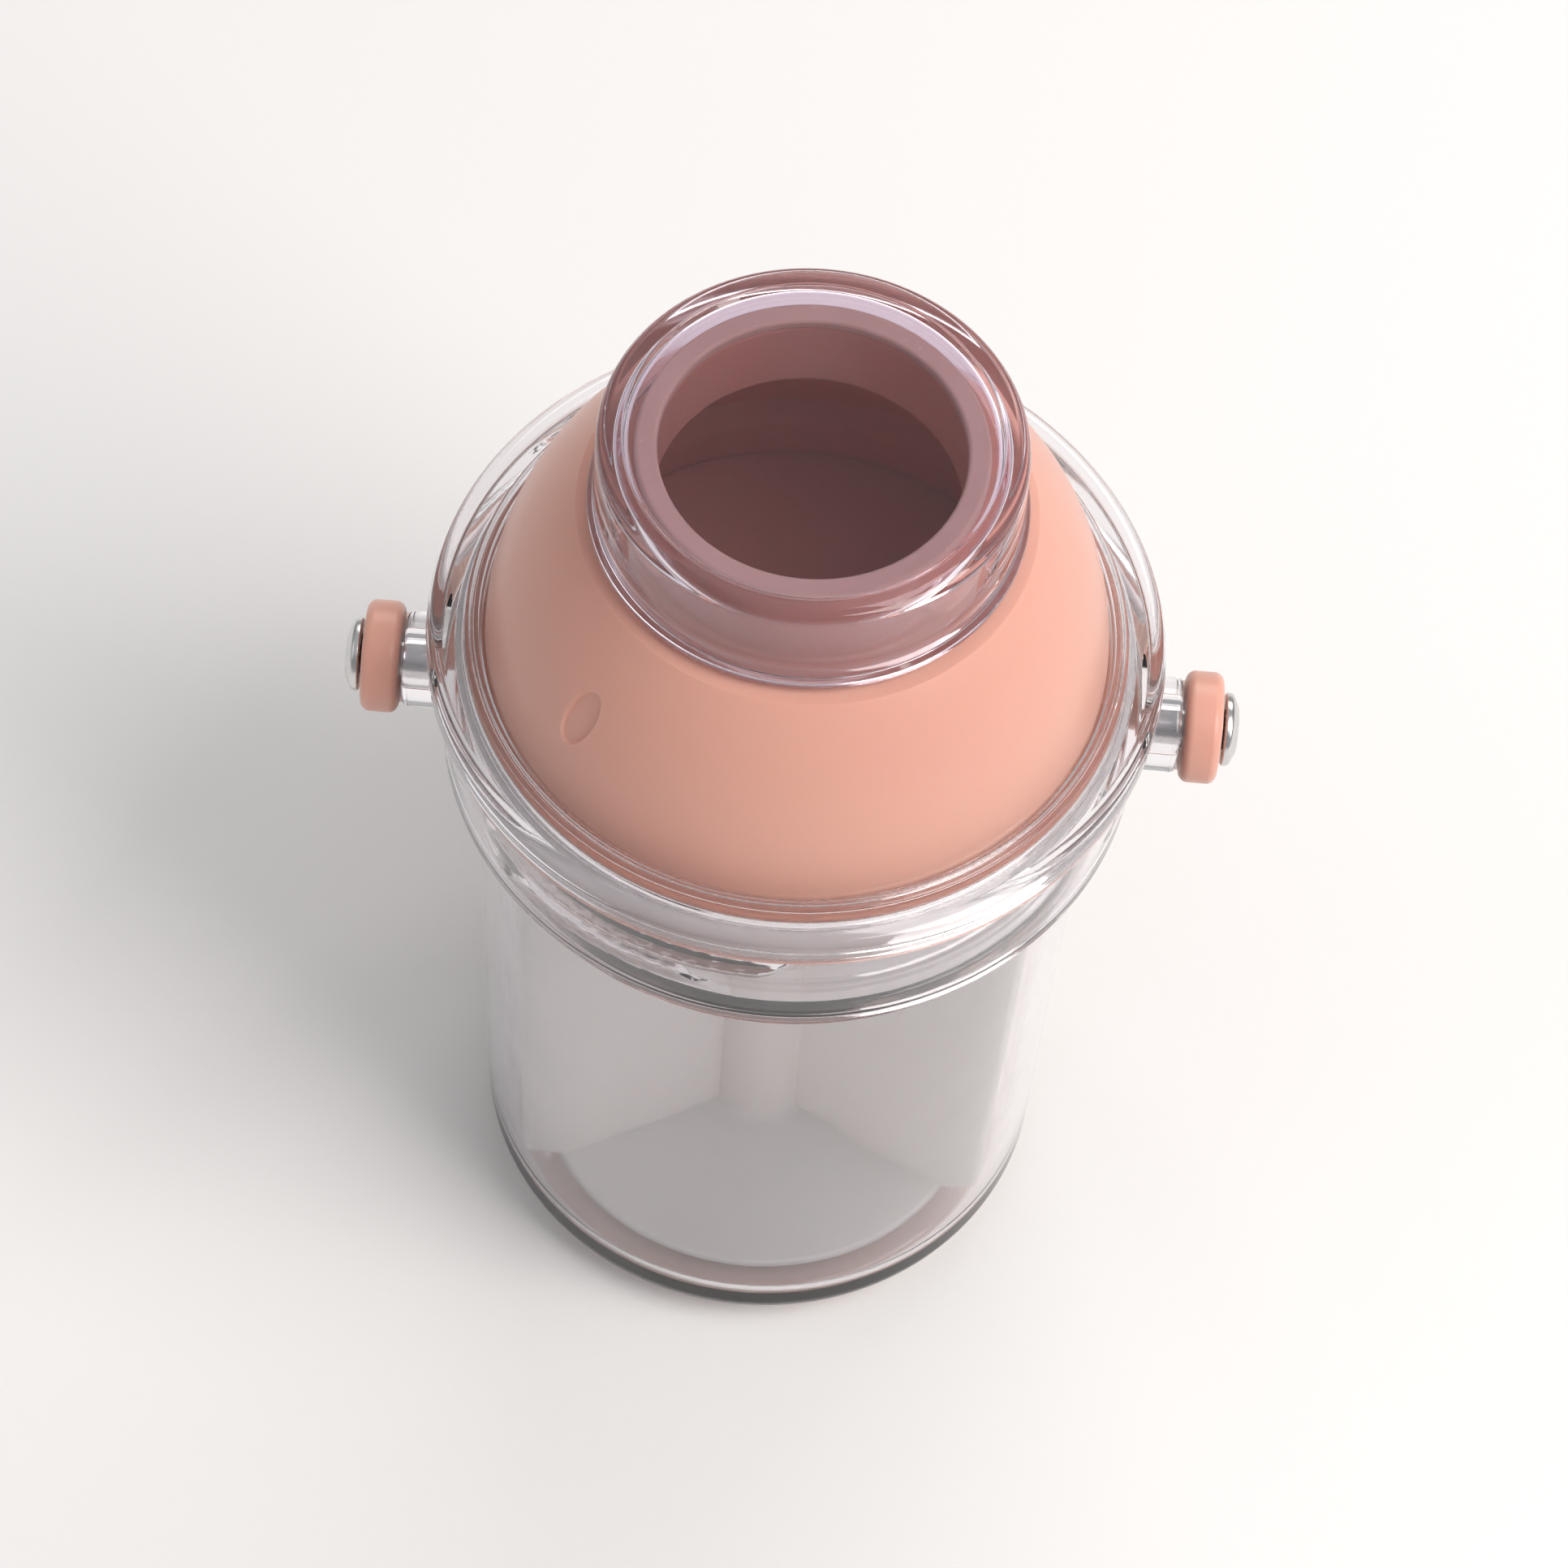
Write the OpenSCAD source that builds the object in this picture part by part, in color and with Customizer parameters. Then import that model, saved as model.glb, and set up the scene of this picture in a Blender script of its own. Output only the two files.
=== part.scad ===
// Rotary formula dispenser. A clear cup holds a three-compartment divider. A funnel lid
// with a selector disc turns over the compartments, a clear screw collar holds the lid
// down, and a clear screw cap closes the pouring neck. A bail handle swings on the collar.
// Millimetres, +Z up, origin on the standing surface at the centre of the cup.

/* [Cup] */
// Outer radius of the cup's neck, under the collar
cup_neck_r = 30; // [29:0.5:33]
// Outer radius of the cup at its foot
cup_base_r = 28.8; // [27.8:0.2:29.8]
// Height of the cup's rim above the standing surface
cup_h = 84; // [76:1:110]
// Thickness of the cup's wall at its rim
cup_wall = 2; // [1.6:0.1:2.4]

/* [Lid] */
// Rise of the funnel lid's dome above its flange
dome_rise = 22; // [16:0.5:24]
// Outward bulge of the dome from a straight cone
dome_bulge = 2.2; // [1:0.1:3]
// Outer radius of the pouring neck
spout_r = 16; // [15:0.5:17]
// Height of the pouring neck
spout_h = 7.6; // [7.6:0.2:12]

/* [Handle] */
// Height of the handle's straight arms above its pivots
arm_h = 31; // [28:1:45]
// Width of the handle along its pivots' swing
handle_w = 9; // [7:0.5:10]
// Turn of the resting handle from upright, back and down behind the cup
handle_rest = 147; // [100:1:148]
// Thickness of the handle
handle_t = 3.6; // [3:0.2:4]

/* [Compartments] */
// Number of compartments, one thread start and one vane for each
compartments = 3; // [3:1:3]
// Thickness of the divider's vanes
vane_t = 1.4; // [1.2:0.1:2]
// Angle of the selector disc's port
port_angle = 100; // [80:5:106]

/* [Hidden] */
$fn = 128;
clear_plastic = [0.86, 0.88, 0.90, 0.35];
peach_plastic = [0.86, 0.62, 0.54];
pale_plastic = [0.95, 0.91, 0.88];
silicone = [0.93, 0.86, 0.82];
steel = [0.72, 0.73, 0.75];

// clearances
slip = 0.3; // between parts that move past each other
run = 0.08; // round a shaft that turns

// cup
foot_r = 25.8;
foot_h = 2.4;
cup_z = 1.1; // underside of the cup, held off the surface by the foot pad
floor_z = 4.2; // inside floor
base_round = 5;
inside_round = 4;
cup_in_top = cup_neck_r - cup_wall;
cup_in_base = cup_base_r - cup_wall - 0.2;
ledge_r = cup_neck_r + 2.6;
ledge_z = cup_h - 14;
ledge_h = 2;

// lid stack, upward from the cup's rim
gasket_h = 1.2;
flange_z = cup_h + gasket_h;
flange_h = 2;
flange_r = cup_neck_r + 1.4;
dome_z = flange_z + flange_h;
dome_r = cup_in_top + 1.6;
dome_top_r = spout_r + 5.4;
dome_top_z = dome_z + dome_rise;
lid_wall = 1.8;
dimple = [7.6, 3.2, 0.5]; // the oval index dimple's length, width and depth
dimple_at = 225;
dimple_twist = 12;
plug_r = cup_in_top - slip;
plug_wall = 1.6;
plug_z = cup_h - 4.9;
spout_z = dome_top_z + 0.6;
spout_top = spout_z + spout_h;
spout_in = spout_r - 1.7;

// selector
seal_h = 1;
disc_h = 1.8;
disc_r = plug_r - plug_wall;
port_in = 7;
port_out = 23.4;
port_at = 270; // the port's middle, over the front compartment
divider_top = plug_z - seal_h - 0.1;
divider_floor_r = cup_in_base - inside_round;
divider_floor_h = 1.2;
hub_r = 5;
hub_pin_r = 1.95;
hub_pin_depth = 8;
pin_head_r = 4.4;
pin_head_h = 1.3;

// collar
collar_in = cup_neck_r + 1.8;
collar_r = collar_in + 1.8;
rim_r = collar_r + 1.6; // the rim that stands out over the skirt
rim_h = 3.2;
collar_z = ledge_z + ledge_h + 0.6;
collar_lip_r = dome_r + slip;
collar_flange_z = dome_z + 0.2;
collar_top = collar_flange_z + 1.9;
bead_r = 0.3; // two fine beads run round the top, beside the lip
bead_at = 0.55;
bead_pitch = 0.75;
lip_bevel = 0.2;
snap_z = flange_z - 1.2;
snap_h = 0.8;

// screw threads: [ribs' root, ribs' crest, lugs' crest, lugs' root]
collar_thread = [cup_neck_r, cup_neck_r + 1.4, cup_neck_r + 0.4, collar_in];
collar_lead = 12;
collar_thread_z = ledge_z + 8;
collar_drop = 1.75; // lugs sit this far under the ribs
cap_in = spout_r + 2.2;
cap_thread = [spout_r, spout_r + 1.6, spout_r + 0.4, cap_in];
cap_lead = 8;
cap_starts = 2;
cap_thread_z = spout_z + 4.6;
cap_drop = 1.5;

// spout cap
cap_r = cap_in + 1.7;
cap_z = spout_z + 0.2;
cap_seal_h = 1.2;
cap_top = spout_top + cap_seal_h + 1.8;

// handle
pivot_z = collar_z + 5.6;
boss_r = 4.6;
boss_end = rim_r + 2.2;
handle_in = boss_end + slip;
handle_mid = handle_in + handle_t / 2;
eye_r = 5.4;
pin_r = 1.95;
pin_depth = 3.2;
grip_angle = 76;
grip_over = 1.7;

// Points along the arc from p to q that bulges to the right of the way there
function arc(p, q, bulge, shift = 0, n = 10) =
  let (
    way = q - p,
    r = (way * way / 4 + bulge * bulge) / (2 * bulge),
    side = [way[1], -way[0]] / norm(way),
    centre = (p + q) / 2 - side * (r - bulge),
    from = atan2(p[1] - centre[1], p[0] - centre[0]),
    to = atan2(q[1] - centre[1], q[0] - centre[0])
  )
  [for (i = [0:n]) centre + (r + shift) * [cos(from + (to - from) * i / n),
                                           sin(from + (to - from) * i / n)]];

// A quarter round of radius r about a centre, from one angle to the next
function round_corner(centre, r, from, to, n = 6) =
  [for (i = [0:n]) centre + r * [cos(from + (to - from) * i / n),
                                 sin(from + (to - from) * i / n)]];

function reversed(list) = [for (i = [len(list) - 1:-1:0]) list[i]];

// Inner radius of the cup at a height
function cup_in(z) = cup_in_base + (cup_in_top - cup_in_base) * (z - floor_z) / (cup_h - floor_z);

// Outline of a bar of the handle, w across the swing and t thick, with rounded corners
function bar(w, t, r) = concat(
  round_corner([t / 2 - r, w / 2 - r], r, 0, 90), round_corner([-t / 2 + r, w / 2 - r], r, 90, 180),
  round_corner([-t / 2 + r, -w / 2 + r], r, 180, 270), round_corner([t / 2 - r, -w / 2 + r], r, 270, 360)
);

// A short rib along a helix: a flat arc, tilted to the helix at its middle
module helix_rib(root, crest, span, lead, thick) {
  tilt = atan(lead / (PI * (root + crest)));
  rotate([tilt, 0, 0]) rotate(-span / 2) rotate_extrude(angle = span)
    polygon([[root, -thick / 2], [crest, -thick / 4], [crest, thick / 4], [root, thick / 2]]);
}

// Evenly spaced ribs or lugs, one for each thread start
module thread_ribs(root, crest, span, lead, starts, z, thick = 1.5) {
  for (i = [0:starts - 1])
    rotate(i * 360 / starts) translate([0, 0, z]) helix_rib(root, crest, span, lead, thick);
}

// The sector that powder passes through, cut from a disc
module port(z, h) {
  translate([0, 0, z - 1]) rotate(port_at - port_angle / 2) rotate_extrude(angle = port_angle)
    translate([port_in, 0]) square([port_out - port_in, h + 2]);
}

module ring(r_in, r_out, z, h) {
  translate([0, 0, z]) rotate_extrude() translate([r_in, 0]) square([r_out - r_in, h]);
}

module foot_pad() {
  color(silicone) rotate_extrude() polygon(concat(
    [[0, 0]], round_corner([foot_r - 0.9, 0.9], 0.9, 270, 360), [[foot_r, foot_h], [0, foot_h]]
  ));
}

// Upright ribs inside the cup that hold the divider's vanes from turning
module vane_slot() {
  rib_w = 1;
  rib_h = 30;
  for (side = [-1, 1])
    translate([cup_in_base - 0.7, side * (vane_t / 2 + slip + rib_w / 2) - rib_w / 2,
               floor_z + inside_round + 1])
      cube([1.7, rib_w, rib_h]);
}

module cup() {
  outline = concat(
    [[0, foot_h], [foot_r, foot_h], [foot_r, cup_z]],
    round_corner([cup_base_r - base_round, cup_z + base_round], base_round, 295, 356),
    [[cup_neck_r + 0.2, ledge_z], [ledge_r - 0.6, ledge_z + 0.2], [ledge_r, ledge_z + 0.8]],
    [[ledge_r, ledge_z + ledge_h], [cup_neck_r, ledge_z + ledge_h]],
    [[cup_neck_r, cup_h - 0.5], [cup_neck_r - 0.5, cup_h], [cup_in_top + 0.4, cup_h]],
    [[cup_in_top, cup_h - 0.4]],
    round_corner([cup_in_base - inside_round, floor_z + inside_round], inside_round, 0, -90),
    [[0, floor_z]]
  );
  color(clear_plastic) {
    rotate_extrude() polygon(outline);
    thread_ribs(collar_thread[0] - 0.8, collar_thread[1], 70, collar_lead, compartments, collar_thread_z);
    for (i = [0:compartments - 1]) rotate(90 + i * 360 / compartments) vane_slot();
  }
}

module vane() {
  edge = 0.25; // space between a vane and the cup
  foot = divider_floor_r - 0.6;
  foot_z = floor_z + divider_floor_h / 2;
  top_z = divider_top - 0.4; // the hub stands proud of the vanes
  translate([0, vane_t / 2, 0]) rotate([90, 0, 0]) linear_extrude(vane_t) polygon([
    [hub_r - 1, foot_z], [foot, foot_z],
    [cup_in(floor_z + inside_round) - edge - 0.4, floor_z + inside_round],
    [cup_in(top_z) - edge, top_z], [hub_r - 1, top_z],
  ]);
}

module divider() {
  color(pale_plastic) difference() {
    union() {
      translate([0, 0, floor_z]) cylinder(r = hub_r, h = divider_top - floor_z);
      translate([0, 0, floor_z]) cylinder(r = divider_floor_r, h = divider_floor_h);
      for (i = [0:compartments - 1]) rotate(90 + i * 360 / compartments) vane();
    }
    translate([0, 0, divider_top - hub_pin_depth - 1]) cylinder(r = hub_pin_r + run, h = hub_pin_depth + 2);
  }
}

module hub_pin() {
  top = plug_z + disc_h;
  color(pale_plastic) rotate_extrude() polygon([
    [0, divider_top - hub_pin_depth], [hub_pin_r - 0.5, divider_top - hub_pin_depth],
    [hub_pin_r, divider_top - hub_pin_depth + 0.6], [hub_pin_r, top], [pin_head_r, top],
    [pin_head_r, top + pin_head_h - 0.6], [pin_head_r - 0.8, top + pin_head_h], [0, top + pin_head_h],
  ]);
}

module disc_seal() {
  color(silicone) difference() {
    ring(hub_pin_r, plug_r, plug_z - seal_h, seal_h);
    port(plug_z - seal_h, seal_h);
  }
}

module selector_disc() {
  color(peach_plastic) difference() {
    ring(hub_pin_r, disc_r, plug_z, disc_h);
    port(plug_z, disc_h);
  }
}

module lid_seal() {
  color(silicone) ring(cup_in_top, cup_neck_r - 0.2, cup_h, gasket_h);
}

// The shallow oval dimple on the dome that marks the port's side, square to the surface
module index_dimple() {
  side = arc([dome_r, dome_z], [dome_top_r, dome_top_z], dome_bulge, n = 20);
  mid = 11; // just over half way up
  slope = side[mid + 1] - side[mid - 1];
  oval = [for (i = [0:31]) [dimple[0] / 2 * cos(i * 11.25), dimple[1] / 2 * sin(i * 11.25)]];
  rotate(dimple_at) translate([side[mid][0], 0, side[mid][1]]) rotate([0, atan2(slope[1], -slope[0]), 0])
    rotate(-dimple_twist) translate([0, 0, -dimple[2]]) linear_extrude(2) polygon(oval);
}

module funnel_lid() {
  low = [dome_r, dome_z];
  high = [dome_top_r, dome_top_z];
  outline = concat(
    [[disc_r, plug_z], [plug_r - 0.4, plug_z], [plug_r, plug_z + 0.6], [plug_r, flange_z]],
    [[flange_r, flange_z], [flange_r, dome_z]],
    arc(low, high, dome_bulge),
    [[spout_r, spout_z], [spout_r, spout_top - 0.5], [spout_r - 0.5, spout_top]],
    [[spout_in + 0.5, spout_top], [spout_in, spout_top - 0.5]],
    [[spout_in, dome_top_z - 0.6]],
    reversed(arc(low, high, dome_bulge, -lid_wall)),
    [[disc_r, flange_z]]
  );
  color(peach_plastic) difference() {
    union() {
      rotate_extrude() polygon(outline);
      thread_ribs(cap_thread[0] - 0.8, cap_thread[1], 100, cap_lead, cap_starts, cap_thread_z, 1.2);
    }
    index_dimple();
  }
}

module pivot_boss() {
  translate([collar_in + 0.9, 0, pivot_z]) rotate([0, 90, 0])
    cylinder(r = boss_r, h = boss_end - collar_in - 0.9);
}

module collar() {
  rim_z = collar_top - rim_h;
  outline = concat(
    [[collar_in, collar_z], [collar_r - 0.4, collar_z], [collar_r, collar_z + 0.4]],
    [[collar_r, rim_z - 0.6]],
    [[collar_r + 0.6, rim_z], [rim_r - 0.3, rim_z], [rim_r, rim_z + 0.3]],
    round_corner([rim_r - 1.4, collar_top - 1.4], 1.4, 0, 90),
    [[collar_lip_r + lip_bevel, collar_top], [collar_lip_r, collar_top - lip_bevel]],
    [[collar_lip_r, collar_flange_z]],
    [[collar_in, collar_flange_z], [collar_in, snap_z + snap_h + 0.1]],
    [[collar_in + 0.7, snap_z + snap_h + 0.1], [collar_in + 0.7, snap_z - 0.1], [collar_in, snap_z - 0.1]]
  );
  color(clear_plastic) difference() {
    union() {
      rotate_extrude() polygon(outline);
      for (i = [0, 1]) rotate_extrude()
        translate([collar_lip_r + bead_at + i * bead_pitch, collar_top]) circle(r = bead_r, $fn = 24);
      thread_ribs(collar_thread[3] + 0.7, collar_thread[2], 40, collar_lead, compartments,
                  collar_thread_z - collar_drop);
      pivot_boss();
      rotate(180) pivot_boss();
    }
    for (side = [0, 180]) rotate(side) translate([boss_end - pin_depth, 0, pivot_z]) rotate([0, 90, 0])
      cylinder(r = pin_r, h = pin_depth + 1);
  }
}

module snap_ring() {
  gap = 12;
  color(pale_plastic) translate([0, 0, snap_z]) rotate(90 + gap / 2) rotate_extrude(angle = 360 - gap)
    translate([cup_neck_r + 0.7, 0]) square([collar_in + 0.6 - cup_neck_r - 0.7, snap_h]);
}

// A headed pin that the handle swings on, along +X
module pivot_pin() {
  head = handle_in + handle_t + slip;
  color(steel) translate([0, 0, pivot_z]) rotate([0, 90, 0]) rotate_extrude() polygon(concat(
    [[0, boss_end - pin_depth], [pin_r, boss_end - pin_depth], [pin_r, head], [3.6, head]],
    [[3.6, head + 0.5], [3, head + 1], [1.8, head + 1.3], [0, head + 1.4]]
  ));
}

module left_pin() { rotate(180) pivot_pin(); }
module right_pin() { pivot_pin(); }

module handle_arm() {
  difference() {
    union() {
      translate([handle_mid, 0, pivot_z]) linear_extrude(arm_h) polygon(bar(handle_w, handle_t, 1.4));
      translate([handle_in, 0, pivot_z]) rotate([0, 90, 0]) cylinder(r = eye_r, h = handle_t);
    }
    translate([handle_in - 1, 0, pivot_z]) rotate([0, 90, 0]) cylinder(r = pin_r + run, h = handle_t + 2);
  }
}

// Turns the handle about its pivots from upright to where it rests
module at_rest() {
  translate([0, 0, pivot_z]) rotate([-handle_rest, 0, 0]) translate([0, 0, -pivot_z]) children();
}

module handle() {
  color(peach_plastic) at_rest() {
    handle_arm();
    rotate(180) handle_arm();
    translate([0, 0, pivot_z + arm_h]) rotate([90, 0, 0]) rotate_extrude(angle = 180)
      translate([handle_mid, 0]) polygon(bar(handle_w, handle_t, 1.4));
  }
}

module handle_grip() {
  color(silicone) at_rest() translate([0, 0, pivot_z + arm_h]) rotate([90, 0, 0])
    rotate(90 - grip_angle / 2) rotate_extrude(angle = grip_angle) translate([handle_mid, 0])
      difference() {
        polygon(bar(handle_w + 2 * grip_over, handle_t + 2 * grip_over, 2.4));
        polygon(bar(handle_w, handle_t, 1.4));
      }
}

module cap_seal() {
  color(silicone) ring(spout_in - 0.2, spout_r + 0.3, spout_top, cap_seal_h);
}

module spout_cap() {
  roof = spout_top + cap_seal_h;
  outline = concat(
    [[cap_in, cap_z], [cap_r + 0.3, cap_z], [cap_r + 0.5, cap_z + 0.4], [cap_r + 0.3, cap_z + 0.9]],
    [[cap_r, cap_z + 1.4]],
    round_corner([cap_r - 1.4, cap_top - 1.4], 1.4, 0, 90),
    [[cap_r - 2.4, cap_top], [cap_r - 3, cap_top - 0.6], [0, cap_top - 0.6], [0, roof], [cap_in, roof]]
  );
  color(clear_plastic) {
    rotate_extrude() polygon(outline);
    thread_ribs(cap_thread[3] + 0.7, cap_thread[2], 50, cap_lead, cap_starts, cap_thread_z - cap_drop, 1.2);
  }
}

foot_pad();
cup();
divider();
hub_pin();
disc_seal();
selector_disc();
lid_seal();
funnel_lid();
collar();
snap_ring();
left_pin();
right_pin();
handle();
handle_grip();
cap_seal();
spout_cap();
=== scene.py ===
"""Looks of the rotary formula dispenser: clear and peach plastic, silicone and steel."""
import math

import bmesh
import bpy
from mathutils import Matrix, Vector


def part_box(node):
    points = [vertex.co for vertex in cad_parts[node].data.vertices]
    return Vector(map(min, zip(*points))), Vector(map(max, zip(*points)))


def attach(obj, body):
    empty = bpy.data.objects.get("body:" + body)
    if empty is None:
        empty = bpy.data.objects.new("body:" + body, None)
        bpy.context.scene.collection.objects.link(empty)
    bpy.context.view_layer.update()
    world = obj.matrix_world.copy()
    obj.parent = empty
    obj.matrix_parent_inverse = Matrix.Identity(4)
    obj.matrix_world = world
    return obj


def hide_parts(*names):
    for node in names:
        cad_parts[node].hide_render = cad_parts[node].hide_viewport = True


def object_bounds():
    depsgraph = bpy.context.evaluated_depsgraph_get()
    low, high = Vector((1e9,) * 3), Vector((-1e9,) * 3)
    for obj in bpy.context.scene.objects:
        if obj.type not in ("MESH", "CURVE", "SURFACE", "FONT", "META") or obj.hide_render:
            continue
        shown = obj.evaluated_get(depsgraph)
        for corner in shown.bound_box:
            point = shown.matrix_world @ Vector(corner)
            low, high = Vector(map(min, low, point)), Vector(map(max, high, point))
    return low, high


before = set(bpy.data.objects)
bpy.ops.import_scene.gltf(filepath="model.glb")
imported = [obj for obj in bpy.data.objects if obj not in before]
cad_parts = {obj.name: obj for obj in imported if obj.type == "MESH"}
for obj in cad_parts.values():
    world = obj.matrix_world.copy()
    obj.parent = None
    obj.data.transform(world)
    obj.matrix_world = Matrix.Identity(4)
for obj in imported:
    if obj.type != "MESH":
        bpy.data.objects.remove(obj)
CAD_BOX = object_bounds()

MM = 0.001
ROUND = 224  # steps round a turned piece
AIR = 0.04  # mm between pieces that touch, so that clear plastic never shares a face
FINE = 0.14  # mm between rings where ribs stand out


# ---------------------------------------------------------------- sizes, in millimetres

def low(node):
    """The low corner of a node's box."""
    return [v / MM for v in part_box(node)[0]]


def high(node):
    """The high corner of a node's box."""
    return [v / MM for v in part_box(node)[1]]


PAD_R, _, PAD_TOP = high("foot_pad")

LEDGE_R, _, CUP_TOP = high("cup")
CUP_LOW = low("cup")[2]
NECK_R = LEDGE_R - 2.6
CUP_WALL = 2.0
CUP_IN = NECK_R - CUP_WALL
BASE_R = NECK_R - 1.2
BASE_IN = BASE_R - CUP_WALL - 0.2
BASE_ROUND = 5.0
INSIDE_ROUND = 4.0
FLOOR_Z = low("divider")[2]
LEDGE_Z = CUP_TOP - 14
LEDGE_H = 2.0

THREAD_STARTS, THREAD_LEAD = 3, 12.0  # the cup's thread, and the collar's
THREAD_H = 1.35
THREAD_Z = LEDGE_Z + 8
LUG_DROP = 1.75  # how far the collar's lugs sit under the cup's ribs
RIB_HALF_SPAN, LUG_HALF_SPAN = 35, 20  # degrees

HUB_R = 5.0
HUB_BORE = 2.03
HUB_TOP = high("divider")[2]
HUB_BORE_DEEP = 9.0
FLOOR_T = 1.2
VANE_TOP = HUB_TOP - 0.4
VANE_T = 1.4
VANE_DRAFT = 0.12
VANE_SOFT = 0.35
COMPARTMENTS = 3
VANE_AT = [90 + i * 360 / COMPARTMENTS for i in range(COMPARTMENTS)]

PIN_LOW = low("hub_pin")[2]
PIN_HEAD_R, _, PIN_TOP = high("hub_pin")
PIN_R = 1.95
PIN_FIT = 0.05  # play round the pins

PLUG_R = high("disc_seal")[0]
DISC_R = high("selector_disc")[0]
DISC_Z, DISC_TOP = low("selector_disc")[2], high("selector_disc")[2]
SEAL_Z = low("disc_seal")[2]
PORT_IN, PORT_OUT, PORT_ANGLE, PORT_AT = 7.0, 23.4, 100.0, 270.0
PORT_ROUND = 1.3

FLANGE_R, _, SPOUT_TOP = high("funnel_lid")
FLANGE_Z = high("lid_seal")[2]
DOME_Z = FLANGE_Z + 2
DOME_R = CUP_IN + 1.6
SPOUT_R = 16.0
SPOUT_IN = SPOUT_R - 1.7
SPOUT_Z = SPOUT_TOP - 7.6
DOME_TOP_R = SPOUT_R + 5.4
DOME_TOP_Z = SPOUT_Z - 0.6
DOME_BULGE = 2.2
LID_WALL = 1.8
SPOUT_STARTS, SPOUT_LEAD = 2, 8.0  # the neck's thread, and the cap's
SPOUT_RIB_Z = SPOUT_Z + 4.6
SPOUT_RIB_H = 1.55
SPOUT_RIB_HALF = (0.6, 0.32)  # half the rib's thickness at its root and its crest
SPOUT_RIB_HALF_SPAN = 50
DIMPLE = (4.0, 1.65, 0.5)  # the oval's half length, half width and depth
DIMPLE_AT = 225.0
DIMPLE_TWIST = 12.0

RIM_R, COLLAR_TOP = high("collar")[1], high("collar")[2]
COLLAR_Z = low("collar")[2]
SKIRT_R = RIM_R - 1.6
COLLAR_IN = SKIRT_R - 1.8
COLLAR_LIP_R = DOME_R + 0.3
COLLAR_ROOF = DOME_Z + 0.2
RIM_H = 3.2
BEAD_R, BEAD_AT, BEAD_PITCH = 0.3, 0.55, 0.75
SNAP_GROOVE = 0.7
SNAP_PLAY = 0.1
SNAP_GAP = 12  # degrees between the split ring's ends
SNAP_Z, SNAP_TOP = low("snap_ring")[2], high("snap_ring")[2]

CAP_Z = low("spout_cap")[2]
CAP_TOP = high("spout_cap")[2]
CAP_FLANGE_R = high("spout_cap")[0]
CAP_R = CAP_FLANGE_R - 0.5
CAP_IN = CAP_R - 1.7
CAP_ROOF = high("cap_seal")[2]
CAP_RECESS = 0.6
CAP_LUG_DROP = 1.5
CAP_LUG_H = 1.75
CAP_LUG_HALF_SPAN = 25

BOSS_END = high("collar")[0]
BOSS_R = 4.6
BOSS_BORE_DEEP = 3.2
PIVOT_Z = (low("left_pin")[2] + high("left_pin")[2]) / 2
HANDLE_T = 3.6
HANDLE_W = 9.0
HANDLE_MID = BOSS_END + 0.3 + HANDLE_T / 2
HANDLE_EDGE = 1.3
HANDLE_GROOVE = 0.7
ARM_FOOT, ARM_H = 1.0, 31.0
EYE_R = 5.4
HANDLE_REST = 147.0  # degrees back from upright
GRIP_ANGLE = 76.0
GRIP_OVER = 1.6  # the sleeve's thickness on the handle
GRIP_EDGE = 2.2
GRIP_END = 1.3
GRIP_RIBS, GRIP_RIB_DEEP = 13, 0.32


# ---------------------------------------------------------------- outlines

def arc(r, z, radius, start, end, steps=12):
    """Corners with no rounding round an arc's centre (r, z), between two angles in degrees."""
    turn = [math.radians(start + (end - start) * i / steps) for i in range(steps + 1)]
    return [(r + radius * math.cos(t), z + radius * math.sin(t), 0) for t in turn]


def bulged(p, q, bulge, shift=0.0, steps=28):
    """An arc's corners from p to q, bulging to the right of the way, moved outward by shift."""
    p, q = Vector(p), Vector(q)
    way = q - p
    radius = (way.length_squared / 4 + bulge * bulge) / (2 * bulge)
    side = Vector((way.y, -way.x)).normalized()
    centre = (p + q) / 2 - side * (radius - bulge)
    start = math.degrees(math.atan2(p.y - centre.y, p.x - centre.x))
    end = math.degrees(math.atan2(q.y - centre.y, q.x - centre.x))
    return arc(centre.x, centre.y, radius + shift, start, end, steps)


def rounded(corners, closed, per_turn=28):
    """An outline of (r, z) points from corners (r, z, radius), each rounded to its radius."""
    points, n = [], len(corners)
    for i, (r, z, radius) in enumerate(corners):
        here = Vector((r, z))
        if radius <= 0 or (not closed and i in (0, n - 1)):
            points.append(tuple(here))
            continue
        back = Vector(corners[i - 1][:2]) - here
        ahead = Vector(corners[(i + 1) % n][:2]) - here
        half = back.angle(ahead) / 2
        reach = min(radius / math.tan(half), 0.49 * back.length, 0.49 * ahead.length)
        radius = reach * math.tan(half)
        start, end = here + back.normalized() * reach, here + ahead.normalized() * reach
        inward = (back.normalized() + ahead.normalized()).normalized()
        centre = here + inward * (radius / math.sin(half))
        steps = max(3, round(per_turn * (math.pi - 2 * half) / (math.pi / 2) / 4) * 2)
        a, b = start - centre, end - centre
        turn = a.angle_signed(b)
        for k in range(steps + 1):
            points.append(tuple(centre + Matrix.Rotation(-turn * k / steps, 2) @ a))
    return points


def pairs(items, closed):
    """Each item with the next, and the last with the first if closed."""
    return list(zip(items, items[1:] + items[:1])) if closed else list(zip(items, items[1:]))


def filled_in(points, closed, fine):
    """The outline with more points wherever fine(r, z) says that a surface carries ribs."""
    out = []
    for (r0, z0), (r1, z1) in pairs(points, closed):
        out.append((r0, z0))
        if fine((r0 + r1) / 2, (z0 + z1) / 2):
            count = int(math.hypot(r1 - r0, z1 - z0) / FINE)
            for k in range(1, count):
                out.append((r0 + (r1 - r0) * k / count, z0 + (z1 - z0) * k / count))
    if not closed:
        out.append(points[-1])
    return out


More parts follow.
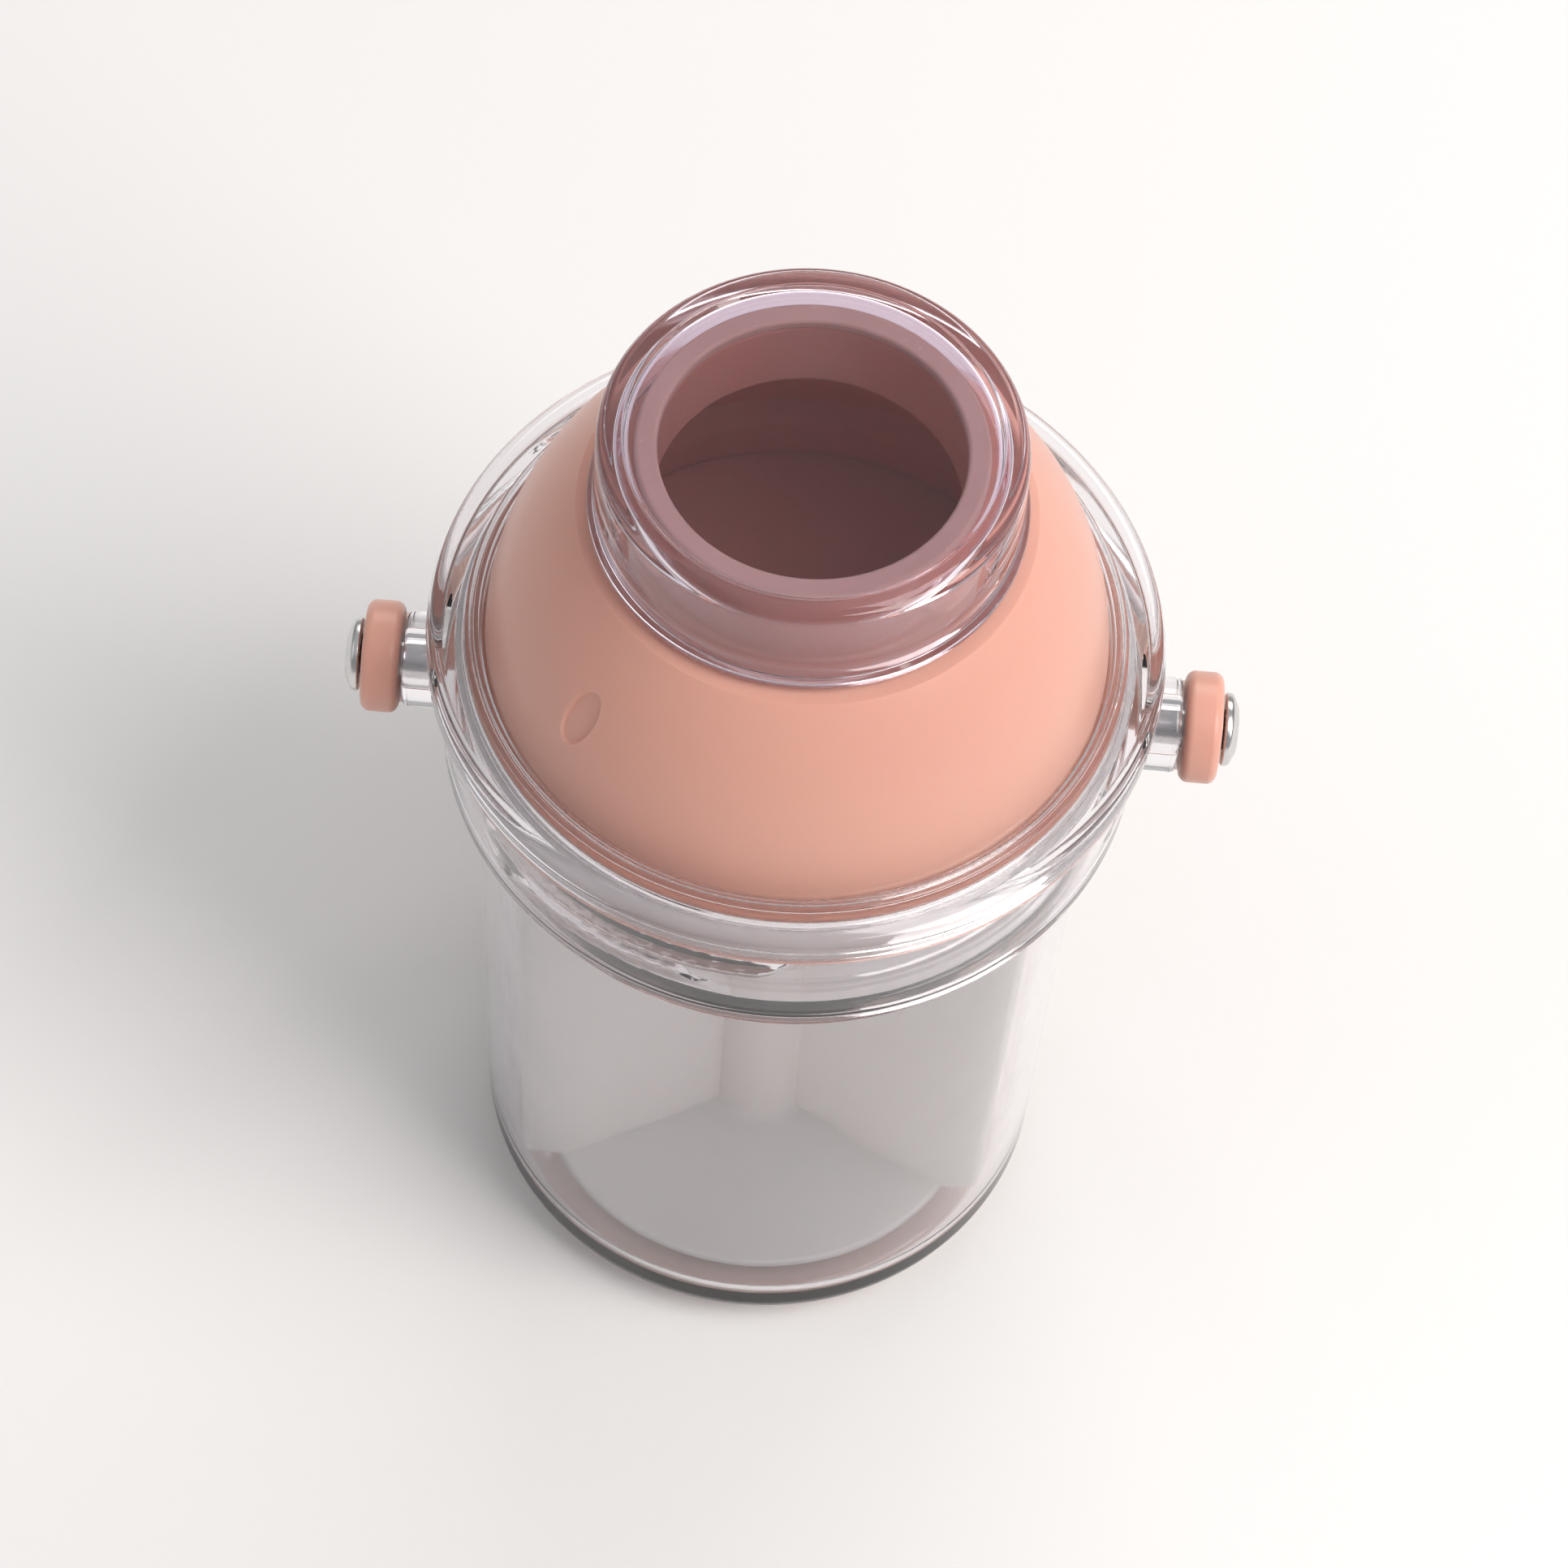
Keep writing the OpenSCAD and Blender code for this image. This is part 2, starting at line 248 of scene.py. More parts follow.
# ---------------------------------------------------------------- meshes

def added(name, data):
    """A new object in the scene."""
    obj = bpy.data.objects.new(name, data)
    bpy.context.scene.collection.objects.link(obj)
    return obj


def applied(obj):
    """The object's mesh with its modifiers applied."""
    bpy.context.view_layer.update()
    graph = bpy.context.evaluated_depsgraph_get()
    return bpy.data.meshes.new_from_object(obj.evaluated_get(graph))


def new_mesh(name, verts, faces):
    """An object from vertices in millimetres, smooth shaded, with its faces turned outward."""
    mesh = bpy.data.meshes.new(name)
    mesh.from_pydata([tuple(c * MM for c in v) for v in verts], [], faces)
    obj = added(name, mesh)
    tidy_mesh(obj)
    return obj


def tidy_mesh(obj):
    """Merges doubles, turns faces outward and shades them smooth."""
    bm = bmesh.new()
    bm.from_mesh(obj.data)
    bmesh.ops.remove_doubles(bm, verts=bm.verts, dist=1e-7)
    bmesh.ops.recalc_face_normals(bm, faces=bm.faces)
    bm.to_mesh(obj.data)
    bm.free()
    obj.data.polygons.foreach_set("use_smooth", [True] * len(obj.data.polygons))
    obj.data.update()


def even_shading(obj, angle=32):
    """Keeps flats flat beside small roundings, and keeps edges over the angle sharp."""
    obj.data.set_sharp_from_angle(angle=math.radians(angle))
    weighted = obj.modifiers.new("even", "WEIGHTED_NORMAL")
    weighted.keep_sharp = True
    weighted.weight = 80
    return obj


def lathe(name, outline, closed=True, relief=None, steps=ROUND, start=0.0, sweep=360.0):
    """Turns an outline about Z. An open outline begins and ends on the axis.

    relief(angle, r, z) gives how far a point moves outward. A sweep under 360 degrees gets
    flat ends.
    """
    whole = sweep >= 360
    count = steps if whole else steps + 1
    turns = [math.radians(start + sweep * i / steps) for i in range(count)]
    verts, rings = [], []
    for r, z in outline:
        if not closed and abs(r) < 1e-6:
            rings.append([len(verts)] * count)
            verts.append((0, 0, z))
            continue
        ring = []
        for t in turns:
            out = r + (relief(math.degrees(t), r, z) if relief else 0)
            ring.append(len(verts))
            verts.append((out * math.cos(t), out * math.sin(t), z))
        rings.append(ring)
    faces = []
    for a, b in pairs(rings, closed):
        for i in range(steps):
            j = (i + 1) % count
            quad = [a[i], a[j], b[j], b[i]]
            face = [v for k, v in enumerate(quad) if v != quad[k - 1]]
            if len(face) > 2:
                faces.append(face)
    if not whole:
        faces.append([ring[0] for ring in rings])
        faces.append([ring[-1] for ring in reversed(rings)])
    return new_mesh(name, verts, faces)


def turned(name, corners, closed=True, **more):
    """A lathe piece from rounded corners."""
    return even_shading(lathe(name, rounded(corners, closed), closed, **more))


def thread(starts, lead, middle, half_span, height, half_root=0.75, half_crest=0.4, fade=7.0):
    """How far helical ribs stand out at an angle and height, one rib for each start.

    A negative height gives lugs that stand inward from a bore.
    """
    def stand_out(angle, z):
        most = 0.0
        for i in range(starts):
            off = (angle - 360 * i / starts + 180) % 360 - 180
            away = abs(z - middle - lead * off / 360)
            flank = min(max((half_root - away) / (half_root - half_crest), 0), 1)
            end = min(max((half_span - abs(off)) / fade, 0), 1)
            most = max(most, flank * end * end * (3 - 2 * end))
        return height * most
    return stand_out


def ribbed(name, corners, closed, wall_r, z0, z1, move, steps=ROUND):
    """A lathe piece whose wall at wall_r moves by move(angle, z) between two heights."""
    near = 0.3

    def fine(r, z):
        return abs(r - wall_r) < near and z0 < z < z1

    def relief(angle, r, z):
        return move(angle, z) if fine(r, z) else 0

    points = filled_in(rounded(corners, closed), closed, fine)
    return lathe(name, points, closed, relief, steps)


def carve(obj, other, operation):
    """Applies an exact boolean of obj with other, and removes other."""
    cut = obj.modifiers.new("cut", "BOOLEAN")
    cut.operation, cut.object, cut.solver = operation, other, "EXACT"
    mesh = applied(obj)
    obj.modifiers.clear()
    obj.data = mesh
    bpy.data.objects.remove(other)
    tidy_mesh(obj)
    return obj


def reshape(obj, matrix):
    """Moves an object's vertices by a matrix, in metres."""
    obj.data.transform(matrix)
    obj.data.update()
    return obj


def along_x(obj, x, z):
    """Lays a piece turned about Z along +X, with its foot at (x, 0, z) in millimetres."""
    foot = Matrix.Translation((x * MM, 0, z * MM))
    return reshape(obj, foot @ Matrix.Rotation(math.pi / 2, 4, "Y"))


def mirrored(obj):
    """Turns a piece half a turn about Z."""
    return reshape(obj, Matrix.Rotation(math.pi, 4, "Z"))


def duplicate(obj, name):
    """A copy of a piece with its own mesh and the same modifiers."""
    other = obj.copy()
    other.data = obj.data.copy()
    other.name = name
    bpy.context.scene.collection.objects.link(other)
    return other


def plate(name, loops, z0, z1, edge):
    """A flat plate with holes, from closed loops of (x, y) points, with rounded edges."""
    curve = bpy.data.curves.new(name, "CURVE")
    curve.dimensions = "2D"
    curve.fill_mode = "BOTH"
    curve.extrude = (z1 - z0) / 2 * MM - edge * MM
    curve.bevel_depth = edge * MM
    curve.bevel_resolution = 4
    curve.offset = -edge * MM
    for loop in loops:
        spline = curve.splines.new("POLY")
        spline.points.add(len(loop) - 1)
        for point, (x, y) in zip(spline.points, loop):
            point.co = (x * MM, y * MM, 0, 1)
        spline.use_cyclic_u = True
    source = added(name, curve)
    mesh = applied(source)
    bpy.data.objects.remove(source)
    obj = added(name, mesh)
    tidy_mesh(obj)
    reshape(obj, Matrix.Translation((0, 0, (z0 + z1) / 2 * MM)))
    return even_shading(obj)


# ---------------------------------------------------------------- materials

MIX_FACTOR, MIX_A, MIX_B, MIX_OUT = 0, 6, 7, 2  # the colour sockets of a mix node


class Shader:
    """A Principled material with a few helpers to feed its sockets from procedural textures."""

    def __init__(self, name, **sockets):
        self.material = bpy.data.materials.new(name)
        self.material.use_nodes = True
        self.nodes = self.material.node_tree.nodes
        self.links = self.material.node_tree.links
        self.bsdf = self.nodes["Principled BSDF"]
        for socket, value in sockets.items():
            self.bsdf.inputs[socket.replace("_", " ")].default_value = value
        self.where = self.nodes.new("ShaderNodeTexCoord").outputs["Object"]

    def noise(self, scale, detail=3.0, roughness=0.5, stretch=(1, 1, 1)):
        """A noise field, scale in features a metre."""
        mapping = self.nodes.new("ShaderNodeMapping")
        mapping.inputs["Scale"].default_value = stretch
        self.links.new(self.where, mapping.inputs["Vector"])
        field = self.nodes.new("ShaderNodeTexNoise")
        field.inputs["Scale"].default_value = scale
        field.inputs["Detail"].default_value = detail
        field.inputs["Roughness"].default_value = roughness
        self.links.new(mapping.outputs["Vector"], field.inputs["Vector"])
        return field.outputs["Fac"]

    def span(self, field, low_out, high_out, low_in=0.3, high_in=0.7):
        """A field remapped from one range to another."""
        remap = self.nodes.new("ShaderNodeMapRange")
        for socket, value in zip(("From Min", "From Max", "To Min", "To Max"),
                                 (low_in, high_in, low_out, high_out)):
            remap.inputs[socket].default_value = value
        self.links.new(field, remap.inputs["Value"])
        return remap.outputs["Result"]

    def blend(self, field, colour_a, colour_b):
        """Mixes from a colour, or from another blend, to a second colour."""
        mix = self.nodes.new("ShaderNodeMix")
        mix.data_type = "RGBA"
        if isinstance(colour_a, bpy.types.NodeSocket):
            self.links.new(colour_a, mix.inputs[MIX_A])
        else:
            mix.inputs[MIX_A].default_value = (*colour_a, 1)
        mix.inputs[MIX_B].default_value = (*colour_b, 1)
        self.links.new(field, mix.inputs[MIX_FACTOR])
        return mix.outputs[MIX_OUT]

    def colour(self, source):
        self.links.new(source, self.bsdf.inputs["Base Color"])

    def rough(self, source):
        self.links.new(source, self.bsdf.inputs["Roughness"])

    def bumps(self, *layers):
        """Stacks bump layers of (field, distance in mm)."""
        normal = None
        for field, depth in layers:
            bump = self.nodes.new("ShaderNodeBump")
            bump.inputs["Distance"].default_value = depth * MM
            self.links.new(field, bump.inputs["Height"])
            if normal:
                self.links.new(normal, bump.inputs["Normal"])
            normal = bump.outputs["Normal"]
        self.links.new(normal, self.bsdf.inputs["Normal"])


def clear_plastic(name, tint, shine=(0.015, 0.06)):
    """Polished clear moulding: slight flow waviness, hazy patches and fine rub marks."""
    s = Shader(name, Transmission_Weight=1.0, IOR=1.49)
    haze = s.noise(70, 4)
    scratches = s.noise(900, 2, 0.6, (1, 1, 0.04))
    s.colour(s.blend(haze, tint, [min(1, c * 1.02) for c in tint]))
    s.rough(s.span(haze, *shine))
    s.bumps((s.noise(45, 2), 0.05), (scratches, 0.0025))
    return s.material


def peach_plastic():
    """Satin polypropylene with a faint glow, moulding flow and a fine grain."""
    s = Shader("peach_plastic", Subsurface_Weight=0.4, Subsurface_Scale=0.0028, IOR=1.45,
               Specular_IOR_Level=0.4)
    s.bsdf.inputs["Subsurface Radius"].default_value = (1.0, 0.45, 0.3)
    flow = s.noise(22, 1.5, 0.4, (1, 1, 1.8))
    grain = s.noise(2400, 2, 0.6)
    s.colour(s.blend(flow, (0.665, 0.345, 0.272), (0.725, 0.385, 0.305)))
    s.rough(s.span(s.noise(240, 2), 0.26, 0.34, 0, 1))
    s.bumps((grain, 0.004))
    return s.material


def pale_plastic():
    """Milky translucent polypropylene of the inside pieces."""
    s = Shader("pale_plastic", Subsurface_Weight=0.6, Subsurface_Scale=0.004, IOR=1.49,
               Transmission_Weight=0.12)
    s.bsdf.inputs["Subsurface Radius"].default_value = (1.0, 0.85, 0.75)
    cloud = s.noise(50, 4)
    s.colour(s.blend(cloud, (0.90, 0.85, 0.81), (0.95, 0.92, 0.89)))
    s.rough(s.span(s.noise(220, 3), 0.32, 0.46))
    s.bumps((s.noise(2200, 2), 0.004), (cloud, 0.02))
    return s.material


def silicone():
    """Matte silicone: soft sheen, a powdery grain and a few lighter specks of lint."""
    s = Shader("silicone", Subsurface_Weight=0.25, Subsurface_Scale=0.0015, Sheen_Weight=0.25,
               Sheen_Roughness=0.4)
    s.bsdf.inputs["Subsurface Radius"].default_value = (1.0, 0.6, 0.5)
    cloud = s.noise(90, 4)
    specks = s.span(s.noise(1500, 1), 0, 1, 0.72, 0.76)
    body = s.blend(s.span(cloud, 0, 1), (0.70, 0.47, 0.395), (0.755, 0.53, 0.455))
    s.colour(s.blend(s.span(specks, 0, 0.35, 0, 1), body, (0.86, 0.80, 0.76)))
    s.rough(s.span(cloud, 0.52, 0.64))
    s.bumps((s.noise(3200, 3), 0.012), (cloud, 0.03))
    return s.material


def steel():
    """Polished stainless with a fine turned grain."""
    s = Shader("stainless_steel", Metallic=1.0)
    grain = s.noise(1400, 2, 0.5, (0.15, 1, 1))
    s.colour(s.blend(s.noise(300, 2), (0.60, 0.59, 0.585), (0.70, 0.69, 0.68)))
    s.rough(s.span(grain, 0.16, 0.3))
    s.bumps((grain, 0.003))
    return s.material


CLEAR = clear_plastic("clear_plastic", (0.958, 0.938, 0.958))
# The cap's mauve tint, stronger than the other clear parts, is painted shade: it darkens the band
# between the cap's wall and the neck, standing in for shade and reflection from a dark surround.
CLEAR_CAP = clear_plastic("clear_cap_plastic", (0.86, 0.785, 0.865))
PEACH, PALE, SILICONE, STEEL = peach_plastic(), pale_plastic(), silicone(), steel()


def finish_piece(obj, material, body, node):
    """Gives a piece its material and slot, and sets it on its body in place of its CAD node."""
    obj.data.materials.clear()
    obj.data.materials.append(material)
    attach(obj, body)
    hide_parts(node)


# ---------------------------------------------------------------- base: cup, pad and divider

def cup_inside(z):
    """The cup's inner radius at a height."""
    return BASE_IN + (CUP_IN - BASE_IN) * (z - FLOOR_Z) / (CUP_TOP - FLOOR_Z)


def make_cup():
    """The clear cup: its base, ledge, threaded neck and inside."""
    corners = [
        (0, PAD_TOP + AIR, 0), (PAD_R + AIR, PAD_TOP + AIR, 0.25),
        (PAD_R + AIR, CUP_LOW + 0.05, 0.15),
    ]
    corners += arc(BASE_R - BASE_ROUND, CUP_LOW + BASE_ROUND, BASE_ROUND, 296, 356, 14)
    corners += [
        (NECK_R + 0.2, LEDGE_Z, 0.9), (LEDGE_R - 0.3, LEDGE_Z, 0.5),
        (LEDGE_R, LEDGE_Z + LEDGE_H, 0.5), (NECK_R, LEDGE_Z + LEDGE_H, 0.5),
        (NECK_R, CUP_TOP, 0.7), (CUP_IN, CUP_TOP, 0.45),
        (BASE_IN, FLOOR_Z, INSIDE_ROUND), (0, FLOOR_Z, 0),
    ]
    ribs = thread(THREAD_STARTS, THREAD_LEAD, THREAD_Z, RIB_HALF_SPAN, THREAD_H)
    cup = ribbed("clear_cup", corners, False, NECK_R, THREAD_Z - 4, THREAD_Z + 4, ribs)
    finish_piece(even_shading(cup), CLEAR, "base", "cup")


def make_foot_pad():
    """A pad with two ring grooves in its underside."""
    groove = [(9.5, 0, 0.3), (9.8, 0.55, 0.3), (10.9, 0.55, 0.3), (11.2, 0, 0.3)]
    groove_pitch = 7.5
    corners = [(0, 0, 0)]
    for out in (0, groove_pitch):
        corners += [(r + out, z, f) for r, z, f in groove]
    corners += [(PAD_R - AIR, 0, 0.9), (PAD_R - AIR, PAD_TOP - AIR, 0.3), (0, PAD_TOP - AIR, 0)]
    pad = turned("silicone_foot_pad", corners, closed=False)
    finish_piece(pad, SILICONE, "base", "foot_pad")


def make_vane(angle):
    """One upright vane with a little draft and a rounded top edge."""
    foot = BASE_IN - INSIDE_ROUND - 0.6
    side = [
        (HUB_R - 1, FLOOR_Z + 0.6), (foot, FLOOR_Z + 0.6),
        (cup_inside(FLOOR_Z + INSIDE_ROUND) - 0.65, FLOOR_Z + INSIDE_ROUND),
        (cup_inside(VANE_TOP) - 0.25, VANE_TOP), (HUB_R - 1, VANE_TOP),
    ]
    verts, n = [], len(side)
    for s in (-1, 1):
        for r, z in side:
            half = VANE_T / 2 - VANE_DRAFT * (z - FLOOR_Z) / (VANE_TOP - FLOOR_Z)
            verts.append((r, s * half, z))
    faces = [list(range(n)), [n + i for i in reversed(range(n))]]
    faces += [[i, (i + 1) % n, n + (i + 1) % n, n + i] for i in range(n)]
    vane = new_mesh("vane", verts, faces)
    soften = vane.modifiers.new("soften", "BEVEL")
    soften.width, soften.segments, soften.limit_method = VANE_SOFT * MM, 3, "ANGLE"
    vane.data = applied(vane)
    vane.modifiers.clear()
    return reshape(vane, Matrix.Rotation(math.radians(angle), 4, "Z"))


def make_divider():
    """The compartments' floor, hub and vanes as one moulding."""
    floor_r, floor_top = BASE_IN - INSIDE_ROUND - AIR, FLOOR_Z + FLOOR_T
    bore = HUB_TOP - HUB_BORE_DEEP
    corners = [
        (0, FLOOR_Z + AIR, 0), (floor_r, FLOOR_Z + AIR, 0.3), (floor_r, floor_top, 0.4),
        (HUB_R, floor_top, 1.2), (HUB_R, HUB_TOP, 0.5), (HUB_BORE, HUB_TOP, 0.35),
        (HUB_BORE, bore, 0.2), (0, bore, 0),
    ]
    divider = lathe("divider_insert", rounded(corners, False), False, steps=128)
    for angle in VANE_AT:
        divider = carve(divider, make_vane(angle), "UNION")
    finish_piece(even_shading(divider), PALE, "base", "divider")


# ---------------------------------------------------------------- lid: selector, funnel and seals

def toward(here, other, reach):
    """The point a reach away from here, but short of the other point."""
    way = other - here
    return here + way.normalized() * min(reach, way.length * 0.9)


def port_loop(outer_steps=40, inner_steps=16, round_steps=5):
    """The port's sector outline, with rounded corners."""
    half = math.radians(PORT_ANGLE / 2)
    centre = math.radians(PORT_AT)
    ring = [(PORT_OUT, centre - half + 2 * half * i / outer_steps) for i in range(outer_steps + 1)]
    ring += [(PORT_IN, centre + half - 2 * half * i / inner_steps) for i in range(inner_steps + 1)]
    points = [Vector((r * math.cos(a), r * math.sin(a))) for r, a in ring]
    out = []
    for i, here in enumerate(points):
        if i in (0, outer_steps, outer_steps + 1, len(points) - 1):
            a = toward(here, points[i - 1], PORT_ROUND)
            b = toward(here, points[(i + 1) % len(points)], PORT_ROUND)
            for k in range(round_steps + 1):
                t = k / round_steps
                out.append(tuple((1 - t) ** 2 * a + 2 * t * (1 - t) * here + t * t * b))
        else:
            out.append(tuple(here))
    return out


def circle_loop(r, steps):
    """A circle's points."""
    turns = [2 * math.pi * i / steps for i in range(steps)]
    return [(r * math.cos(t), r * math.sin(t)) for t in turns]


def ported_plate(name, r, z0, z1, edge):
    """A round plate with the port and the hub pin's hole."""
    loops = [circle_loop(r - AIR, 160), circle_loop(PIN_R + PIN_FIT, 48), port_loop()]
    return plate(name, loops, z0, z1, edge)


def make_selector():
    """The selector disc, the sheet under it and the pin that centres them on the hub."""
    disc = ported_plate("selector_plate", DISC_R, DISC_Z + AIR, DISC_TOP, 0.3)
    finish_piece(disc, PEACH, "lid", "selector_disc")
    seal = ported_plate("selector_gasket", PLUG_R, SEAL_Z, DISC_Z - AIR, 0.25)
    finish_piece(seal, SILICONE, "lid", "disc_seal")
    pin = turned("hub_snap_pin", [
        (0, PIN_LOW, 0), (PIN_R - 0.3, PIN_LOW, 0.4), (PIN_R - AIR, PIN_LOW + 1, 0.3),
        (PIN_R - AIR, DISC_TOP + AIR, 0.2), (PIN_HEAD_R, DISC_TOP + AIR, 0.3),
        (PIN_HEAD_R, PIN_TOP, 0.9), (0.9, PIN_TOP, 0.2), (0.6, PIN_TOP - 0.3, 0.2),
        (0, PIN_TOP - 0.3, 0)], closed=False, steps=96)
    finish_piece(pin, PALE, "lid", "hub_pin")


def dimple_cutter():
    """A pan-shaped cutter for the shallow oval index dimple, square to the dome."""
    side = bulged((DOME_R, DOME_Z), (DOME_TOP_R, DOME_TOP_Z), DOME_BULGE, steps=20)
    middle = len(side) // 2 + 1
    (r0, z0, _), (r, z, _), (r1, z1, _) = side[middle - 1:middle + 2]
    half_long, half_wide, depth = DIMPLE
    # a pan of radius 1 and depth 1, with its sides running on above the surface
    pan = rounded([(0, -1, 0), (0.84, -1, 0.14), (1.0, 0, 0), (1.12, 3, 0), (0, 3, 0)], False)
    cutter = lathe("dimple", pan, False, steps=64)
    reshape(cutter, Matrix.Diagonal((half_long, half_wide, depth, 1)))
    tilt = math.atan2(z1 - z0, r0 - r1)
    return reshape(cutter, Matrix.Rotation(math.radians(DIMPLE_AT), 4, "Z")
                   @ Matrix.Translation((r * MM, 0, z * MM)) @ Matrix.Rotation(tilt, 4, "Y")
                   @ Matrix.Rotation(math.radians(-DIMPLE_TWIST), 4, "Z"))


def make_funnel_lid():
    """The domed lid with its flange, plug, dimple and threaded neck."""
    start, top = (DOME_R, DOME_Z), (DOME_TOP_R, DOME_TOP_Z)
    corners = [
        (DISC_R, DISC_Z, 0.25), (PLUG_R, DISC_Z, 0.6), (PLUG_R, FLANGE_Z + AIR, 0.2),
        (FLANGE_R, FLANGE_Z + AIR, 0.4), (FLANGE_R, DOME_Z, 0.5),
    ]
    corners += bulged(start, top, DOME_BULGE)
    corners += [
        (SPOUT_R, SPOUT_Z, 0.5), (SPOUT_R, SPOUT_TOP, 0.7), (SPOUT_IN, SPOUT_TOP, 0.7),
        (SPOUT_IN, DOME_TOP_Z - 0.5, 1.0),
    ]
    corners += bulged(start, top, DOME_BULGE, -LID_WALL)[::-1]
    corners += [(DISC_R, FLANGE_Z, 0.5)]
    middle = SPOUT_RIB_Z
    ribs = thread(SPOUT_STARTS, SPOUT_LEAD, middle, SPOUT_RIB_HALF_SPAN, SPOUT_RIB_H,
                  *SPOUT_RIB_HALF)
    lid = ribbed("funnel_lid_shell", corners, True, SPOUT_R, middle - 3, middle + 3, ribs, 360)
    lid = carve(lid, dimple_cutter(), "DIFFERENCE")
    finish_piece(even_shading(lid), PEACH, "lid", "funnel_lid")


def make_lid_seal():
    """The gasket on the cup's rim."""
    r0, r1 = CUP_IN + 0.05, NECK_R - 0.25
    seal = turned("lid_gasket", [(r0, CUP_TOP + AIR, 0.25), (r1, CUP_TOP + AIR, 0.25),
                                 (r1, FLANGE_Z - AIR, 0.5), (r0, FLANGE_Z - AIR, 0.5)])
    finish_piece(seal, SILICONE, "lid_ring", "lid_seal")


# ---------------------------------------------------------------- collar and its pins

def make_collar():
    """The clear collar with its rim, beads, snap groove, lugs and two pivot bosses."""
    top = COLLAR_TOP - BEAD_R
    rim_z = top - RIM_H
    corners = [
        (COLLAR_IN, COLLAR_Z, 0.3), (SKIRT_R, COLLAR_Z, 0.5), (SKIRT_R, rim_z, 0.9),
        (RIM_R, rim_z, 0.35), (RIM_R, top, 1.5),
    ]
    for r in (COLLAR_LIP_R + BEAD_AT + BEAD_PITCH, COLLAR_LIP_R + BEAD_AT):
        corners += arc(r, top, BEAD_R, 0, 180, 10)
    corners += [
        (COLLAR_LIP_R, top, 0.1), (COLLAR_LIP_R, COLLAR_ROOF, 0.3), (COLLAR_IN, COLLAR_ROOF, 0.3),
        (COLLAR_IN, SNAP_TOP + SNAP_PLAY, 0.12),
        (COLLAR_IN + SNAP_GROOVE, SNAP_TOP + SNAP_PLAY, 0.12),
        (COLLAR_IN + SNAP_GROOVE, SNAP_Z - SNAP_PLAY, 0.12), (COLLAR_IN, SNAP_Z - SNAP_PLAY, 0.12),
    ]
    lugs = thread(THREAD_STARTS, THREAD_LEAD, THREAD_Z - LUG_DROP, LUG_HALF_SPAN, -THREAD_H)
    collar = ribbed("clear_collar", corners, True, COLLAR_IN, THREAD_Z - 4, THREAD_Z + 1, lugs)
    boss_x = COLLAR_IN + 0.9
    length = BOSS_END - boss_x
    bore_r, bore_end = PIN_R + PIN_FIT, length - BOSS_BORE_DEEP
    outline = rounded([(0, 0, 0), (BOSS_R, 0, 0.2), (BOSS_R, length, 0.6), (bore_r, length, 0.3),
                       (bore_r, bore_end, 0.1), (0, bore_end, 0)], False)
    for turn in (False, True):
        boss = along_x(lathe("boss", outline, False, steps=72), boss_x, PIVOT_Z)
        carve(collar, mirrored(boss) if turn else boss, "UNION")
    finish_piece(even_shading(collar), CLEAR, "collar", "collar")


def make_snap_ring():
    """The split ring that sits in the collar's groove under the lid's flange."""
    r0, r1 = NECK_R + 0.75, COLLAR_IN + 0.55
    z0, z1 = SNAP_Z + AIR, SNAP_TOP - AIR
    corners = [(r0, z0, 0.2), (r1, z0, 0.2), (r1, z1, 0.2), (r0, z1, 0.2)]
    ring = turned("split_snap_ring", corners, start=90 + SNAP_GAP / 2, sweep=360 - SNAP_GAP)
    finish_piece(ring, PALE, "collar", "snap_ring")


def make_pivot_pins():
    """The two headed steel pins, each with a turned recess in its head."""
    foot = BOSS_END - 3.1
    head = HANDLE_MID + HANDLE_T / 2 + 0.3 - foot
    tall = high("right_pin")[0] - foot
    corners = [
        (0, 0, 0), (PIN_R - PIN_FIT, 0, 0.3), (PIN_R - PIN_FIT, head, 0.15), (3.6, head, 0.25),
        (3.5, head + 0.75, 0.5), (2.2, tall, 0.9), (1.2, tall, 0.25), (0.9, tall - 0.3, 0.25),
        (0, tall - 0.3, 0),
    ]
    right = along_x(turned("right_pivot_pin", corners, closed=False, steps=96), foot, PIVOT_Z)
    left = mirrored(duplicate(right, "left_pivot_pin"))
    finish_piece(right, STEEL, "collar", "right_pin")
    finish_piece(left, STEEL, "collar", "left_pin")


# ---------------------------------------------------------------- handle

def arch(start, end, steps):
    """Points and outward directions round the upright handle's arch, between two angles."""
    turns = [start + (end - start) * i / steps for i in range(steps + 1)]
    return [((HANDLE_MID * math.cos(t), ARM_H + HANDLE_MID * math.sin(t)),
             (math.cos(t), math.sin(t))) for t in turns]


def bail_path(arm_steps=9, arch_steps=96):
    """The upright handle's middle line: up the left arm, round the arch, down the right arm."""
    rise = [ARM_FOOT + (ARM_H - ARM_FOOT) * i / arm_steps for i in range(arm_steps)]
    left = [((-HANDLE_MID, s), (-1, 0)) for s in rise]
    right = [((HANDLE_MID, s), (1, 0)) for s in reversed(rise)]
    return left + arch(math.pi, 0, arch_steps) + right


def bar_section(width, thick, radius, groove=0.0, steps=7):
    """A rounded rectangle as (out, across) points, with a channel if its outer face has one."""
    points = []
    for cx, cy, start in ((1, 1, 0), (-1, 1, 90), (-1, -1, 180), (1, -1, 270)):
        for i in range(steps + 1):
            a = math.radians(start + 90 * i / steps)
            points.append((cx * (thick / 2 - radius) + radius * math.cos(a),
                           cy * (width / 2 - radius) + radius * math.sin(a)))
    if groove:
        half_channel = width / 2 - radius - 0.9
        dip = [(0, -1), (0.5, -0.93), (1, -0.82), (1, 0), (1, 0.82), (0.5, 0.93), (0, 1)]
        points += [(thick / 2 - groove * d, half_channel * f) for d, f in dip]
    return points


